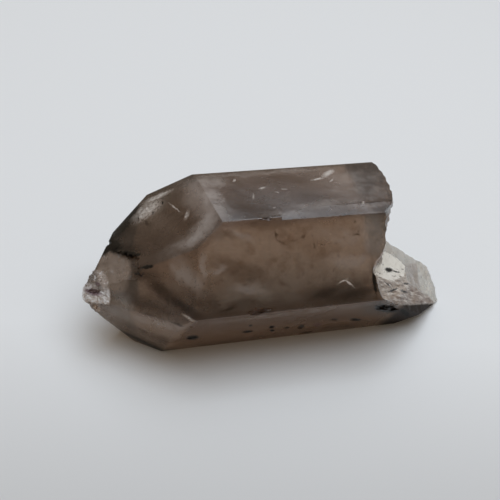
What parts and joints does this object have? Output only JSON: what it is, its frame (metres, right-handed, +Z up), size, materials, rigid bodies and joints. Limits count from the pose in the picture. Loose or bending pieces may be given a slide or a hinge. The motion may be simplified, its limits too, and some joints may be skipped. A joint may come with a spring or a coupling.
{
  "type": "smoky quartz crystal",
  "caption": "Natural six-sided smoky quartz point lying on one of its faces, with a bruised tip and a stepped break with a clear root at its other end; a loose display stone.",
  "frame": {"origin": "on the resting surface, under the middle of the crystal's length and width", "axes": "+X along the crystal's long (c) axis from the point towards the broken root, +Z up out of the top prism face; the crystal rests on the prism face that faces -Z, and -Y is the side with the two prism faces seen from the front"},
  "size_m": [0.0656, 0.0284, 0.0241],
  "materials": {
    "smoky_quartz": "natural crystal: see-through greyish brown, cloudy in places, glossy growth faces with faint growth lines, frosted white bruise at the tip, clear and cracked at the broken root"
  },
  "bodies": {
    "root": {"smoky_quartz_crystal": "smoky_quartz"}
  },
  "joints": []
}
